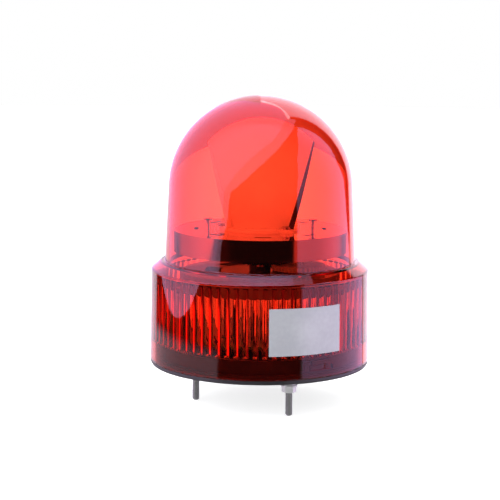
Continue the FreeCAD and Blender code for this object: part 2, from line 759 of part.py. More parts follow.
def make_frame():
    pillars = body("standoff_pillars")
    hexes = sketch_on(pillars, lift="pillar_foot")
    for spot in pillar_places:
        draw_hexagon(hexes, spot, "pillar_flats")
    pad(pillars, hexes, "deck_foot - pillar_foot")
    depth = "(screw_grip + thread_room)"
    cut_circles(pillars, pillar_places, "screw_radius", "pillar_foot", f"pillar_foot + {depth}")
    cut_circles(pillars, pillar_places, "screw_radius", f"deck_foot - {depth}", "deck_foot")
    screws("base_screws", pillar_places, "screw_radius", "screw_head_radius",
           "floor_foot", "floor_foot - screw_head_height", "pillar_foot + screw_grip")
    screws("deck_screws", pillar_places, "screw_radius", "screw_head_radius",
           "deck_foot + deck_lug_thickness", "deck_foot + deck_lug_thickness + screw_head_height",
           "deck_foot - screw_grip")

    deck = body("gear_deck")
    inside = "(deck_radius - deck_wall)"
    revolve(deck, [
        ("deck_radius", "deck_foot"),
        ("deck_radius", "deck_top"),
        ("holder_radius", "deck_top"),
        ("holder_radius", deck_collar_foot),
        ("deck_collar_radius", deck_collar_foot),
        ("deck_collar_radius", deck_plate_foot),
        (inside, deck_plate_foot),
        (inside, "deck_foot"),
    ])
    cut_circles(deck, pillar_places, "deck_lug_radius + 0.4", "deck_foot", deck_plate_foot)
    lug = sketch_on(deck, lift="deck_foot")
    for spot in pillar_places:
        draw_circle(lug, spot, "deck_lug_radius")
    pad(deck, lug, "deck_lug_thickness")
    # a web joins each lug to the plate above it, on the side away from the screw
    web = sketch_on(deck, lift="deck_foot")
    for bearing in ("pillar_bearing", "180 - pillar_bearing", "180 + pillar_bearing", "-pillar_bearing"):
        draw_sector(web, "(pillar_circle_radius - deck_lug_radius - 1)",
                    "(pillar_circle_radius - screw_head_radius - 0.4)", bearing, "13")
    pad(deck, web, f"deck_plate + {deck_plate_foot} - deck_foot")
    cut_circles(deck, pillar_places, "screw_radius + stud_clearance", "deck_foot",
                "deck_foot + deck_lug_thickness")
    window = sketch_on(deck, lift=deck_plate_foot)
    inner = "(deck_window_radius - deck_window_width / 2)"
    outer = "(deck_window_radius + deck_window_width / 2)"
    for bearing in ("-150", "-90", "-30"):
        draw_sector(window, inner, outer, bearing, "deck_window_arc")
    pocket(deck, window, "deck_plate")
    pad_circles(deck, [idler_place], "axle_boss_radius + 1", "axle_foot - 1.5", deck_plate_foot)
    pad_circles(deck, [idler_place], "axle_boss_radius", "deck_top", "axle_boss_top")
    cut_circles(deck, [idler_place], "axle_radius", "axle_foot", "axle_boss_top")
    cut_circles(deck, [motor_place], "motor_nose_radius + motor_nose_gap", deck_plate_foot, "deck_top")
    cut_circles(deck, motor_screw_places, "small_screw_radius + stud_clearance", deck_plate_foot, "deck_top")

    revolve(body("spindle_holder"), [
        ("spindle_radius", "holder_top"),
        ("holder_radius", "holder_top"),
        ("holder_radius", deck_collar_foot),
        ("holder_flange_radius", deck_collar_foot),
        ("holder_flange_radius", f"{deck_collar_foot} - holder_flange"),
        ("spindle_radius", f"{deck_collar_foot} - holder_flange"),
    ])

    spindle = body("spindle_tube")
    groove_foot = "(drum_top + axial_play)"
    groove_radius = "(spindle_radius - clip_groove_depth)"
    revolve(spindle, [
        ("spindle_bore_radius", "spindle_foot"),
        ("spindle_radius", "spindle_foot"),
        ("spindle_radius", groove_foot),
        (groove_radius, groove_foot),
        (groove_radius, f"{groove_foot} + clip_thickness"),
        ("spindle_radius", f"{groove_foot} + clip_thickness"),
        ("spindle_radius", "spindle_top"),
        ("spindle_bore_radius", "spindle_top"),
    ])
    clip = body("retaining_clip")
    pad_ring(clip, centre, "clip_radius", groove_radius, groove_foot, f"{groove_foot} + clip_thickness")
    mouth = sketch_on(clip, lift=groove_foot)
    draw_box(mouth, ("0", "-clip_gap / 2"), ("clip_radius + 1", "clip_gap / 2"))
    pocket(clip, mouth, "clip_thickness")
    thrust = body("thrust_washer")
    pad_ring(thrust, centre, "thrust_washer_radius", "spindle_radius + running_gap",
             "holder_top", "holder_top + thrust_washer_thickness")


# ---- drum and its bushes ----

def make_bush(label, corners):
    revolve(body(label), corners)


def make_drum():
    drum = body("turning_drum")
    inside = "(drum_radius - drum_wall)"
    plate_foot = "(drum_top - drum_plate)"
    flange_seat = drum_gear_top
    lower_pocket = "(hub_foot + bush_length)"
    upper_pocket = "(drum_top - bush_length)"
    waist = "(bush_radius - 1.2)"
    revolve(drum, [
        ("bush_radius", "hub_foot"),
        ("hub_radius", "hub_foot"),
        ("hub_radius", flange_seat),
        ("hub_flange_radius", flange_seat),
        ("hub_flange_radius", f"{flange_seat} + hub_flange"),
        ("hub_radius + 1", f"{flange_seat} + hub_flange"),
        ("hub_radius + 1", plate_foot),
        (inside, plate_foot),
        (inside, "drum_foot"),
        ("drum_radius", "drum_foot"),
        ("drum_radius", "drum_top"),
        ("bush_flange_radius", "drum_top"),
        ("bush_flange_radius", "drum_top - bush_flange"),
        ("bush_radius", "drum_top - bush_flange"),
        ("bush_radius", upper_pocket),
        (waist, upper_pocket),
        (waist, lower_pocket),
        ("bush_radius", lower_pocket),
    ])
    rib = sketch_on(drum, lift=f"{plate_foot} - drum_rib_depth")
    draw_box(rib, ("hub_radius", "-drum_rib_width / 2"), (f"{inside} + 0.5", "drum_rib_width / 2"))
    repeat_round(drum, pad(drum, rib, "drum_rib_depth + 0.5"), "drum_rib_count")
    slot = sketch_on(drum, lift=plate_foot)
    draw_sector(slot, "(drum_slot_radius - drum_slot_width / 2)", "(drum_slot_radius + drum_slot_width / 2)",
                "drum_slot_bearing", "drum_slot_arc")
    repeat_round(drum, pocket(drum, slot, "drum_plate"), "drum_slot_count")
    pegs = [(across("peg_circle_radius", turn), ahead("peg_circle_radius", turn))
            for turn in ("peg_bearing", "-peg_bearing")]
    pad_circles(drum, pegs, "peg_radius", "drum_top - 0.5", "drum_top + peg_height")
    pad_circles(drum, pegs, "peg_head_radius", "drum_top + peg_height", "drum_top + peg_height + peg_head")
    cut_circles(drum, gear_screw_places, "small_screw_radius", flange_seat, f"{flange_seat} + hub_flange")
    cut_circles(drum, mirror_ear_places, "small_screw_radius", plate_foot, "drum_top")

    bore = "(spindle_radius + running_gap)"
    make_bush("lower_bush", [
        (bore, "hub_foot - bush_flange"),
        ("bush_flange_radius", "hub_foot - bush_flange"),
        ("bush_flange_radius", "hub_foot"),
        ("bush_radius", "hub_foot"),
        ("bush_radius", lower_pocket),
        (bore, lower_pocket),
    ])
    make_bush("upper_bush", [
        (bore, upper_pocket),
        ("bush_radius", upper_pocket),
        ("bush_radius", "drum_top - bush_flange"),
        ("bush_flange_radius", "drum_top - bush_flange"),
        ("bush_flange_radius", "drum_top"),
        (bore, "drum_top"),
    ])


# ---- gears ----

def involute_point(base_radius, radius):
    """The polar angle that an involute has turned through when it reaches a radius."""
    pressure = math.acos(min(1.0, base_radius / radius))
    return math.tan(pressure) - pressure


def gear_outline(teeth, phase):
    """A closed wire of involute teeth, one of them centred on the angle phase, in degrees."""
    module = size("gear_module")
    pitch = module * teeth / 2
    tip = pitch + module
    root = pitch - 1.25 * module
    base = pitch * math.cos(math.radians(20))
    low = max(base, root + 0.05 * module)
    half_tooth = (math.pi * module / 2 - size("tooth_thinning")) / 2 / pitch
    rolled_at_pitch = involute_point(base, pitch)

    def flank(radius, side, middle):
        turn = half_tooth + rolled_at_pitch - involute_point(base, radius)
        bearing = middle + side * turn
        return FreeCAD.Vector(radius * math.cos(bearing), radius * math.sin(bearing), 0)

    edges = []
    steps = [low + (tip - low) * share for share in (0, 0.5, 1)]
    for tooth in range(teeth):
        middle = math.radians(phase) + 2 * math.pi * tooth / teeth
        rising = [flank(radius, -1, middle) for radius in steps]
        falling = [flank(radius, 1, middle) for radius in reversed(steps)]
        tip_top = FreeCAD.Vector(tip * math.cos(middle), tip * math.sin(middle), 0)
        edges.append(Part.Arc(*rising).toShape())
        edges.append(Part.Arc(rising[-1], tip_top, falling[0]).toShape())
        edges.append(Part.Arc(*falling).toShape())
        following = middle + 2 * math.pi / teeth
        gap = middle + math.pi / teeth
        turn = half_tooth + rolled_at_pitch - involute_point(base, low)
        left = FreeCAD.Vector(root * math.cos(middle + turn), root * math.sin(middle + turn), 0)
        right = FreeCAD.Vector(root * math.cos(following - turn), root * math.sin(following - turn), 0)
        floor = FreeCAD.Vector(root * math.cos(gap), root * math.sin(gap), 0)
        edges.append(Part.LineSegment(falling[-1], left).toShape())
        edges.append(Part.Arc(left, floor, right).toShape())
        edges.append(Part.LineSegment(right, flank(low, -1, following)).toShape())
    return Part.Wire(edges)


def gear_blank(teeth, phase, spot, low, high):
    face = Part.Face(gear_outline(teeth, phase))
    face.translate(FreeCAD.Vector(size(spot[0]), size(spot[1]), size(low)))
    return face.extrude(FreeCAD.Vector(0, 0, size(high) - size(low)))


def rod(spot, radius, low, high):
    foot = FreeCAD.Vector(size(spot[0]), size(spot[1]), size(low))
    return Part.makeCylinder(size(radius), size(high) - size(low), foot)


def make_gears():
    """Each pair is in mesh at rest: a tooth of the driven gear points at a gap of its pinion."""
    idler_turn = math.degrees(math.atan2(size(idler_place[1]), size(idler_place[0])))
    motor_turn = math.degrees(math.atan2(size(motor_place[1]) - size(idler_place[1]),
                                         size(motor_place[0]) - size(idler_place[0])))
    drum_teeth, pinion_teeth = int(size("drum_teeth")), int(size("idler_pinion_teeth"))
    wheel_teeth, motor_teeth = int(size("idler_wheel_teeth")), int(size("motor_pinion_teeth"))

    drum_gear = gear_blank(drum_teeth, idler_turn, centre, "hub_foot", drum_gear_top)
    drum_gear = drum_gear.cut(rod(centre, "hub_radius", "hub_foot - 1", f"{drum_gear_top} + 1"))
    for spot in gear_screw_places:
        drum_gear = drum_gear.cut(rod(spot, "small_screw_radius", "hub_foot - 1", f"{drum_gear_top} + 1"))
    shape_piece("drum_gear", drum_gear)

    wheel_top = "(idler_wheel_foot + idler_wheel_width)"
    wheel = gear_blank(wheel_teeth, motor_turn, idler_place, "idler_wheel_foot", wheel_top)
    pinion_turn = idler_turn + 180 + 180 / pinion_teeth
    pinion = gear_blank(pinion_teeth, pinion_turn, idler_place, wheel_top, "idler_pinion_top")
    idler = wheel.fuse(pinion)
    idler = idler.cut(rod(idler_place, "axle_radius + running_gap",
                          "idler_wheel_foot - 1", "idler_pinion_top + 1"))
    shape_piece("idler_gear", idler)

    motor_pinion_turn = motor_turn + 180 + 180 / motor_teeth
    pinion = gear_blank(motor_teeth, motor_pinion_turn, motor_place,
                        "motor_pinion_foot", "motor_pinion_foot + motor_pinion_width")
    pinion = pinion.cut(rod(motor_place, "motor_shaft_radius",
                            "motor_pinion_foot - 1", "motor_shaft_top + 1"))
    shape_piece("motor_pinion", pinion)

    screws("gear_screws", gear_screw_places, "small_screw_radius", "small_screw_head_radius",
           "hub_foot", "hub_foot - small_screw_head_height", f"{drum_gear_top} + hub_flange - 0.3")
    axle = body("idler_axle")
    pad_circles(axle, [idler_place], "axle_radius", "axle_foot", "axle_top")
    clip = body("axle_clip")
    pad_ring(clip, idler_place, "axle_clip_radius", "axle_radius",
             "idler_pinion_top + axial_play", "idler_pinion_top + axial_play + clip_thickness")


# ---- motor ----

def make_motor():
    can = body("motor_can")
    pad_circles(can, [motor_place], "motor_radius", motor_foot, deck_plate_foot)
    pad_circles(can, [motor_place], "motor_nose_radius", deck_plate_foot, f"{deck_plate_foot} + motor_nose")
    cut_circles(can, [motor_place], "motor_shaft_radius + running_gap", motor_foot,
                f"{deck_plate_foot} + motor_nose")
    cut_circles(can, motor_screw_places, "small_screw_radius",
                f"{deck_plate_foot} - small_screw_grip - thread_room / 2", deck_plate_foot)
    cap = body("motor_end_cap")
    pad_circles(cap, [motor_place], "motor_cap_radius", f"{motor_foot} - motor_cap_height", motor_foot)
    shaft = body("motor_shaft")
    pad_circles(shaft, [motor_place], "motor_shaft_radius", f"{motor_foot} + 0.2", "motor_shaft_top")
    screws("motor_screws", motor_screw_places, "small_screw_radius", "small_screw_head_radius",
           "deck_top", "deck_top + small_screw_head_height", f"{deck_plate_foot} - small_screw_grip")


# ---- mirror ----

def parabola_arc(shift, reach):
    """A parabola in the YZ plane, open towards +Y, as one exact quadratic curve up to a half height."""
    focal = size("focal_length")
    back = -focal - shift
    slope_end = reach * reach / (4 * focal)
    height = size("focus_height")
    poles = [FreeCAD.Vector(0, back, height), FreeCAD.Vector(0, back, height + reach / 2),
             FreeCAD.Vector(0, back + slope_end, height + reach)]
    curve = Part.BezierCurve()
    curve.setPoles(poles)
    return curve.toShape()


def make_mirror():
    """A paraboloid shell about a level axis through the lamp, trimmed to a keystone with a round top,
    on a ring that is screwed to the drum."""
    reach = 48.0
    inner, outer = parabola_arc(0, reach), parabola_arc(size("mirror_wall"), reach)
    rim = Part.LineSegment(inner.Vertexes[-1].Point, outer.Vertexes[-1].Point).toShape()
    web = Part.LineSegment(outer.Vertexes[0].Point, inner.Vertexes[0].Point).toShape()
    profile = Part.Face(Part.Wire(Part.__sortEdges__([inner, rim, outer, web])))
    axis_point = FreeCAD.Vector(0, 0, size("focus_height"))
    shell = profile.revolve(axis_point, FreeCAD.Vector(0, 1, 0), 360)
    foot, waist = size("drum_top"), size("mirror_waist")
    half_foot, half_waist = size("mirror_foot_half_width"), size("mirror_waist_half_width")
    depth = 60.0
    corners = [FreeCAD.Vector(-half_foot, -depth, foot), FreeCAD.Vector(half_foot, -depth, foot),
               FreeCAD.Vector(half_waist, -depth, waist), FreeCAD.Vector(-half_waist, -depth, waist)]
    top = FreeCAD.Vector(0, -depth, size("mirror_top"))
    edges = [Part.LineSegment(a, b).toShape() for a, b in zip(corners[:3], corners[1:])]
    edges[2] = Part.Arc(corners[2], top, corners[3]).toShape()
    edges.append(Part.LineSegment(corners[3], corners[0]).toShape())
    trim = Part.Face(Part.Wire(edges)).extrude(FreeCAD.Vector(0, 2 * depth, 0))
    mirror = shell.common(trim)
    ring = rod(centre, "mirror_base_radius", "drum_top", "drum_top + mirror_base")
    for spot in mirror_ear_places:
        ring = ring.fuse(rod(spot, "mirror_ear_radius", "drum_top", "drum_top + mirror_base"))
    mirror = mirror.fuse(ring)
    mirror = mirror.cut(rod(centre, "mirror_base_bore_radius", "drum_top - 1", "drum_top + mirror_base + 1"))
    for spot in mirror_ear_places:
        mirror = mirror.cut(rod(spot, "small_screw_radius", "drum_top - 1", "drum_top + mirror_base + 1"))
    shape_piece("mirror", mirror.removeSplitter())
    seat = "(drum_top + mirror_base)"
    screws("mirror_screws", mirror_ear_places, "small_screw_radius", "small_screw_head_radius",
           seat, f"{seat} + small_screw_head_height", "drum_top - drum_plate + 0.2")


# ---- lamp tower ----

def make_lamp():
    tower = body("lamp_tower")
    post = sketch_on(tower, lift="tower_foot")
    draw_box(post, (f"-{tower_half}", f"-{tower_half}"), (tower_half, tower_half))
    pad(tower, post, "tower_top - tower_foot")
    cut_circles(tower, [centre], "spindle_radius", "tower_foot", "spindle_top")
    cut_circles(tower, [centre], "spindle_bore_radius", "spindle_top", "tower_top")

    boards = body("led_boards")
    plates = sketch_on(boards, lift="led_board_foot")
    board_half = "(led_board_width / 2)"
    far = f"({tower_half} + led_board_thickness)"
    draw_box(plates, (tower_half, f"-{board_half}"), (far, board_half))
    repeat_round(boards, pad(boards, plates, "led_board_height"), "4")

    leds = body("led_emitters")
    side = sketch_on(leds, "YZ_Plane", lift=far)
    draw_circle(side, ("0", "led_low"), "led_radius")
    draw_circle(side, ("0", "led_low + led_pitch"), "led_radius")
    repeat_round(leds, pad(leds, side, "led_height"), "4")

    cap = body("lamp_cap")
    lid = sketch_on(cap, lift="tower_top")
    draw_box(lid, (f"-{far}", f"-{far}"), (far, far))
    pad(cap, lid, "tower_cap")


# ---- driver board ----

def make_driver():
    board = body("driver_board")
    pad_circles(board, [centre], "board_radius", "board_foot", board_top)
    cut_circles(board, board_post_places, "board_screw_radius + stud_clearance", "board_foot", board_top)
    screws("board_screws", board_post_places, "board_screw_radius", "board_screw_head_radius",
           board_top, f"{board_top} + board_screw_head_height", "board_foot - board_screw_grip")
    terminal = body("terminal_block")
    outline = sketch_on(terminal, lift=board_top)
    draw_box(outline, ("terminal_left", "terminal_front"),
             ("terminal_left + terminal_width", "terminal_front + terminal_length"))
    pad(terminal, outline, "terminal_height")
    capacitors = body("capacitors")
    bearings = ("capacitor_bearing", "(capacitor_bearing + capacitor_spread)")
    cans = [(across("capacitor_circle_radius", turn), ahead("capacitor_circle_radius", turn))
            for turn in bearings]
    pad_circles(capacitors, cans, "capacitor_radius", board_top, f"{board_top} + capacitor_height")
    coil = body("power_inductor")
    coil_place = (across("inductor_circle_radius", "inductor_bearing"),
                  ahead("inductor_circle_radius", "inductor_bearing"))
    pad_circles(coil, [coil_place], "inductor_radius", board_top, f"{board_top} + inductor_height")
    chips = body("board_chips")
    outlines = sketch_on(chips, lift=board_top)
    for step in range(3):
        turn = f"(chip_bearing + {step} * chip_spread)"
        spot = (across("chip_circle_radius", turn), ahead("chip_circle_radius", turn))
        draw_box(outlines, (f"{spot[0]} - chip_width / 2", f"{spot[1]} - chip_width / 2"),
                 (f"{spot[0]} + chip_width / 2", f"{spot[1]} + chip_width / 2"))
    pad(chips, outlines, "chip_height")


make_lens()
make_label()
make_base()
make_base_hardware()
make_frame()
make_drum()
make_gears()
make_motor()
make_mirror()
make_lamp()
make_driver()
doc.recompute()

for item in doc.Objects:
    if "Invalid" in item.State or "Error" in item.State:
        raise ValueError(f"{item.Label} did not recompute: {item.State}")
os.makedirs("parts", exist_ok=True)
for piece in kept:
    shape = piece.Shape
    if shape.isNull() or not shape.isValid():
        raise ValueError(f"{piece.Label} has no valid shape")
    shape.exportStep(os.path.join("parts", piece.Label + ".step"))
    print(f"{piece.Label:18} solids {len(shape.Solids)}  volume {shape.Volume:10.1f} mm3")
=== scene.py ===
import json
import math
import bmesh
import bpy
import numpy as np
from mathutils import Matrix, Vector


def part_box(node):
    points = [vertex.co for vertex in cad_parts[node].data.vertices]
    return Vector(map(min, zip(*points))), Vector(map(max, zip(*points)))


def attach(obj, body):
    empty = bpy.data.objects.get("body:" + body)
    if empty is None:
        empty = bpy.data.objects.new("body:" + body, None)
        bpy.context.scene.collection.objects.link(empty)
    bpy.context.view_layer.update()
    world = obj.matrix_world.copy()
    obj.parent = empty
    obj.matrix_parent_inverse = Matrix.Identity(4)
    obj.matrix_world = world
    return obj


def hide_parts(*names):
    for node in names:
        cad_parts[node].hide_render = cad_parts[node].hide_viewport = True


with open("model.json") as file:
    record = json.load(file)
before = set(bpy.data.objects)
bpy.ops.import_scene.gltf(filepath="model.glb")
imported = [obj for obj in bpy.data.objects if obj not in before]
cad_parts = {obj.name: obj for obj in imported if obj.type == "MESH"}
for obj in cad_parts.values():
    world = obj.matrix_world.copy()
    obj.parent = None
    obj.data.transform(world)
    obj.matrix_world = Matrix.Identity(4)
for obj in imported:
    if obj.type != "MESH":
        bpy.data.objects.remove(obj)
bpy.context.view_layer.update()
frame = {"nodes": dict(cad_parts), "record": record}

# A rotating beacon with a red acrylic lens, on a plain white sweep.  Sizes below are millimetres,
# but for those inside a material, which are metres.
mm = 0.001
scene = bpy.context.scene
scene.view_settings.view_transform = "Standard"
print("frame loaded:", len(frame["nodes"]), "pieces")


# one socket of a material's node tree; sums of these add Math nodes, and node() makes any other node
class Flow:
    def __init__(self, tree, socket=None):
        self.tree = tree
        self.socket = socket

    # a node of any type: its settings go in first, then the values or links of its sockets
    def node(self, kind, settings=None, sockets=None, out=0):
        made = self.tree.nodes.new(kind)
        for name, value in (settings or {}).items():
            setattr(made, name, value)
        for name, value in (sockets or {}).items():
            if isinstance(value, Flow):
                self.tree.links.new(value.socket, made.inputs[name])
            else:
                made.inputs[name].default_value = value
        return Flow(self.tree, made.outputs[out])

    def math(self, operation, first, second=0.0):
        return self.node("ShaderNodeMath", {"operation": operation}, {0: first, 1: second})

    def __add__(self, other):
        return self.math("ADD", self, other)

    def __radd__(self, other):
        return self.math("ADD", other, self)

    def __sub__(self, other):
        return self.math("SUBTRACT", self, other)

    def __rsub__(self, other):
        return self.math("SUBTRACT", other, self)

    def __mul__(self, other):
        return self.math("MULTIPLY", self, other)

    def __rmul__(self, other):
        return self.math("MULTIPLY", other, self)

    def __gt__(self, other):
        return self.math("GREATER_THAN", self, other)

    def __lt__(self, other):
        return self.math("LESS_THAN", self, other)

    # eases from 0 at low to 1 at high
    def ease(self, low, high):
        return self.node("ShaderNodeMapRange", {"interpolation_type": "SMOOTHSTEP"},
                         {"Value": self, "From Min": low, "From Max": high})


# colour = one x (1 - share) + two x share
def blendColour(flow, share, one, two):
    return flow.node("ShaderNodeMix", {"data_type": "RGBA"}, {0: share, 6: (*one, 1), 7: (*two, 1)}, out=2)


# value = low + share x (high - low)
def between(share, pair):
    return share * (pair[1] - pair[0]) + pair[0]


# a point of the surface in its object's own coordinates
def place(flow):
    return flow.node("ShaderNodeTexCoord", out=3)


# one number of a vector: 0, 1 or 2 for x, y or z
def partOf(flow, vector, axis):
    return flow.node("ShaderNodeSeparateXYZ", {}, {0: vector}, out=axis)


# what the light path tells of a ray
def rayFact(flow, fact):
    return flow.node("ShaderNodeLightPath", out=fact)


def noise(flow, where, scale, detail=3.0):
    return flow.node("ShaderNodeTexNoise", {}, {"Vector": where, "Scale": scale, "Detail": detail})


def stretched(flow, where, scale):
    return flow.node("ShaderNodeMapping", {}, {"Vector": where, "Scale": scale})


def bump(flow, height, strength, distance):
    return flow.node("ShaderNodeBump", {}, {"Height": height, "Strength": strength, "Distance": distance})


# a material from a drawing function, which gives its surface and its volume or None
def makeMaterial(name, draw):
    material = bpy.data.materials.new(name)
    material.use_nodes = True
    tree = material.node_tree
    tree.nodes.clear()
    output = tree.nodes.new("ShaderNodeOutputMaterial")
    surface, volume = draw(Flow(tree))
    tree.links.new(surface.socket, output.inputs["Surface"])
    if volume:
        tree.links.new(volume.socket, output.inputs["Volume"])
    return material


acrylic = {
    "reach": 980.0,  # how strongly a metre of it takes up light
    "passes": (0.9865, 0.45, 0.226),  # what it lets by, as the pale side of the take-up
    "ior": 1.49, "roughness": (0.0, 0.02), "tints": ((1.0, 0.97, 0.97), (0.97, 0.93, 0.93)),
    "cloudScale": 60.0, "waveScale": 26.0, "waviness": 0.012, "waveHeight": 0.0004,
    "lampTint": (0.92, 0.92, 0.92, 1),
}


# clear to lamp rays, glass to all others; inside, light x e to the power of -(reach x way x (1 - passes))
def drawAcrylic(flow):
    where = place(flow)
    cloud = noise(flow, where, acrylic["cloudScale"], 2.0)
    wave = noise(flow, where, acrylic["waveScale"], 1.0)
    glass = flow.node("ShaderNodeBsdfPrincipled", {}, {
        "Base Color": blendColour(flow, cloud, *acrylic["tints"]),
        "Roughness": between(cloud, acrylic["roughness"]), "IOR": acrylic["ior"], "Transmission Weight": 1.0,
        "Normal": bump(flow, wave, acrylic["waviness"], acrylic["waveHeight"])})
    clear = flow.node("ShaderNodeBsdfTransparent", {}, {"Color": acrylic["lampTint"]})
    surface = flow.node("ShaderNodeMixShader", {}, {0: rayFact(flow, "Is Shadow Ray"), 1: glass, 2: clear})
    volume = flow.node("ShaderNodeVolumeAbsorption", {}, {
        "Color": (*acrylic["passes"], 1), "Density": acrylic["reach"]})
    return surface, volume


solidLook = {
    "cloudScale": 45.0, "bump": 0.5,
    "colourCloud": 0.7, "colourEase": (0.3, 0.7),  # the cloud's share beside the grain's, and the contrast
    "roughCloud": 0.6, "roughEase": (0.25, 0.75),
}


# a solid finish: two close colours in a cloud, roughness that wanders, and a fine grain
def solidFinish(colour, other, roughness, metallic=0.0, grain=900.0, height=0.00003, stretch=(1, 1, 1)):
    look = solidLook

    def draw(flow):
        where = place(flow)
        cloud = noise(flow, where, look["cloudScale"], 4.0)
        fine = noise(flow, stretched(flow, where, stretch), grain, 2.0)
        share = (cloud * look["colourCloud"] + fine * (1 - look["colourCloud"])).ease(*look["colourEase"])
        rough = (cloud * look["roughCloud"] + fine * (1 - look["roughCloud"])).ease(*look["roughEase"])
        shader = flow.node("ShaderNodeBsdfPrincipled", {}, {
            "Base Color": blendColour(flow, share, colour, other), "Roughness": between(rough, roughness),
            "Metallic": metallic, "Normal": bump(flow, fine, look["bump"], height)})
        return shader, None
    return draw


finishes = {
    "redAcrylic": drawAcrylic,
    "chrome": solidFinish((0.86, 0.86, 0.87), (0.8, 0.8, 0.82), (0.03, 0.09), 1.0, 500.0, 0.000004),
    "mirrorFront": solidFinish((0.93, 0.93, 0.94), (0.88, 0.88, 0.9), (0.015, 0.05), 1.0, 500.0, 0.000002),
    "mirrorBack": solidFinish((0.93, 0.93, 0.92), (0.86, 0.86, 0.85), (0.3, 0.45), 0.0, 700.0, 0.00002),
    "blackMoulding": solidFinish((0.012, 0.011, 0.013), (0.02, 0.018, 0.021), (0.32, 0.5)),
    "blackRubber": solidFinish((0.018, 0.017, 0.018), (0.03, 0.028, 0.03), (0.6, 0.8), 0.0, 600.0, 0.00006),
    "zincSteel": solidFinish((0.62, 0.62, 0.6), (0.5, 0.5, 0.49), (0.22, 0.4), 1.0, 700.0, 0.00001),
    "brightNut": solidFinish((0.52, 0.52, 0.52), (0.42, 0.42, 0.42), (0.35, 0.5), 0.25, 700.0, 0.00001),
    "darkSteel": solidFinish((0.26, 0.26, 0.26), (0.19, 0.19, 0.19), (0.35, 0.5), 0.35, 700.0, 0.00001),
    # painted shade: a near-black finish for the mirror's edges, standing in for the rim seen in shadow
    "darkEdge": solidFinish((0.03, 0.012, 0.014), (0.05, 0.02, 0.022), (0.35, 0.5)),
    "smokeGrey": solidFinish((0.12, 0.11, 0.11), (0.09, 0.085, 0.085), (0.12, 0.25)),
    "acetal": solidFinish((0.8, 0.78, 0.72), (0.72, 0.7, 0.64), (0.35, 0.5)),
    "bronze": solidFinish((0.5, 0.33, 0.16), (0.4, 0.25, 0.12), (0.4, 0.6), 1.0, 1400.0, 0.00004),
    "brass": solidFinish((0.78, 0.6, 0.28), (0.66, 0.49, 0.2), (0.2, 0.36), 1.0),
    "aluminium": solidFinish((0.75, 0.75, 0.76), (0.64, 0.64, 0.66), (0.3, 0.45), 1.0, 900.0, 0.00001,
                             stretch=(1, 1, 0.08)),
    "boardGreen": solidFinish((0.03, 0.16, 0.07), (0.05, 0.24, 0.1), (0.3, 0.45), 0.0, 300.0, 0.00003),
    "terminalGreen": solidFinish((0.05, 0.3, 0.12), (0.04, 0.24, 0.1), (0.35, 0.5)),
    "whiteBoard": solidFinish((0.85, 0.85, 0.83), (0.78, 0.78, 0.76), (0.35, 0.5)),
    "phosphor": solidFinish((0.85, 0.66, 0.12), (0.75, 0.55, 0.08), (0.4, 0.6)),
    "sleeve": solidFinish((0.03, 0.035, 0.06), (0.05, 0.055, 0.08), (0.2, 0.35)),
    "labelFoil": solidFinish((0.345, 0.35, 0.38), (0.29, 0.295, 0.325), (0.3, 0.42), 0.2, 500.0, 0.00001),
}
materials = {name: makeMaterial(name, draw) for name, draw in finishes.items()}
print("finishes ready:", len(materials))


# puts a mesh or a camera into the scene as an object of the given name
def addObject(name, data):
    made = bpy.data.objects.new(name, data)
    scene.collection.objects.link(made)
    return made


# smooth but for edges sharper than smoothAngle
def shade(mesh, smoothAngle):
    mesh.polygons.foreach_set("use_smooth", np.ones(len(mesh.polygons), bool))
    mesh.update()
    mesh.set_sharp_from_angle(angle=math.radians(smoothAngle))


# a copy of a CAD piece with its doubled points merged, so that it shades smoothly
def dress(node, finish, smoothAngle=28.0):
    mesh = frame["nodes"][node].data.copy()
    mesh.name = node + "Looks"
    work = bmesh.new()
    work.from_mesh(mesh)
    bmesh.ops.remove_doubles(work, verts=work.verts, dist=2e-6)
    work.to_mesh(mesh)
    work.free()
    if mesh.attributes.get("custom_normal"):
        mesh.attributes.remove(mesh.attributes["custom_normal"])
    shade(mesh, smoothAngle)
    mesh.materials.clear()
    mesh.materials.append(materials[finish])
    standFor(addObject(mesh.name, mesh), node)


# one mesh from several parts; each part is its points, its faces and a finish name for each face
def joinParts(name, parts, smoothAngle=30.0):
    finishNames = sorted({finish for part in parts for finish in part[2]})
    counts = np.cumsum([0] + [len(part[0]) for part in parts])
    points = np.concatenate([part[0] for part in parts])
    faces = [face for part, start in zip(parts, counts) for face in (part[1] + start).tolist()]
    mesh = bpy.data.meshes.new(name)
    mesh.from_pydata(points.tolist(), [], faces)
    for finish in finishNames:
        mesh.materials.append(materials[finish])
    index = np.array([finishNames.index(finish) for part in parts for finish in part[2]], np.int32)
    mesh.polygons.foreach_set("material_index", index)
    shade(mesh, smoothAngle)
    return addObject(name, mesh)


bodyOf = {node: body for body, nodes in frame["record"]["behaviour"]["bodies"].items() for node in nodes}


# puts a piece in a CAD node's place, on its body, and hides the CAD node
def standFor(piece, node):
    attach(piece, bodyOf[node])
    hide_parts(node)


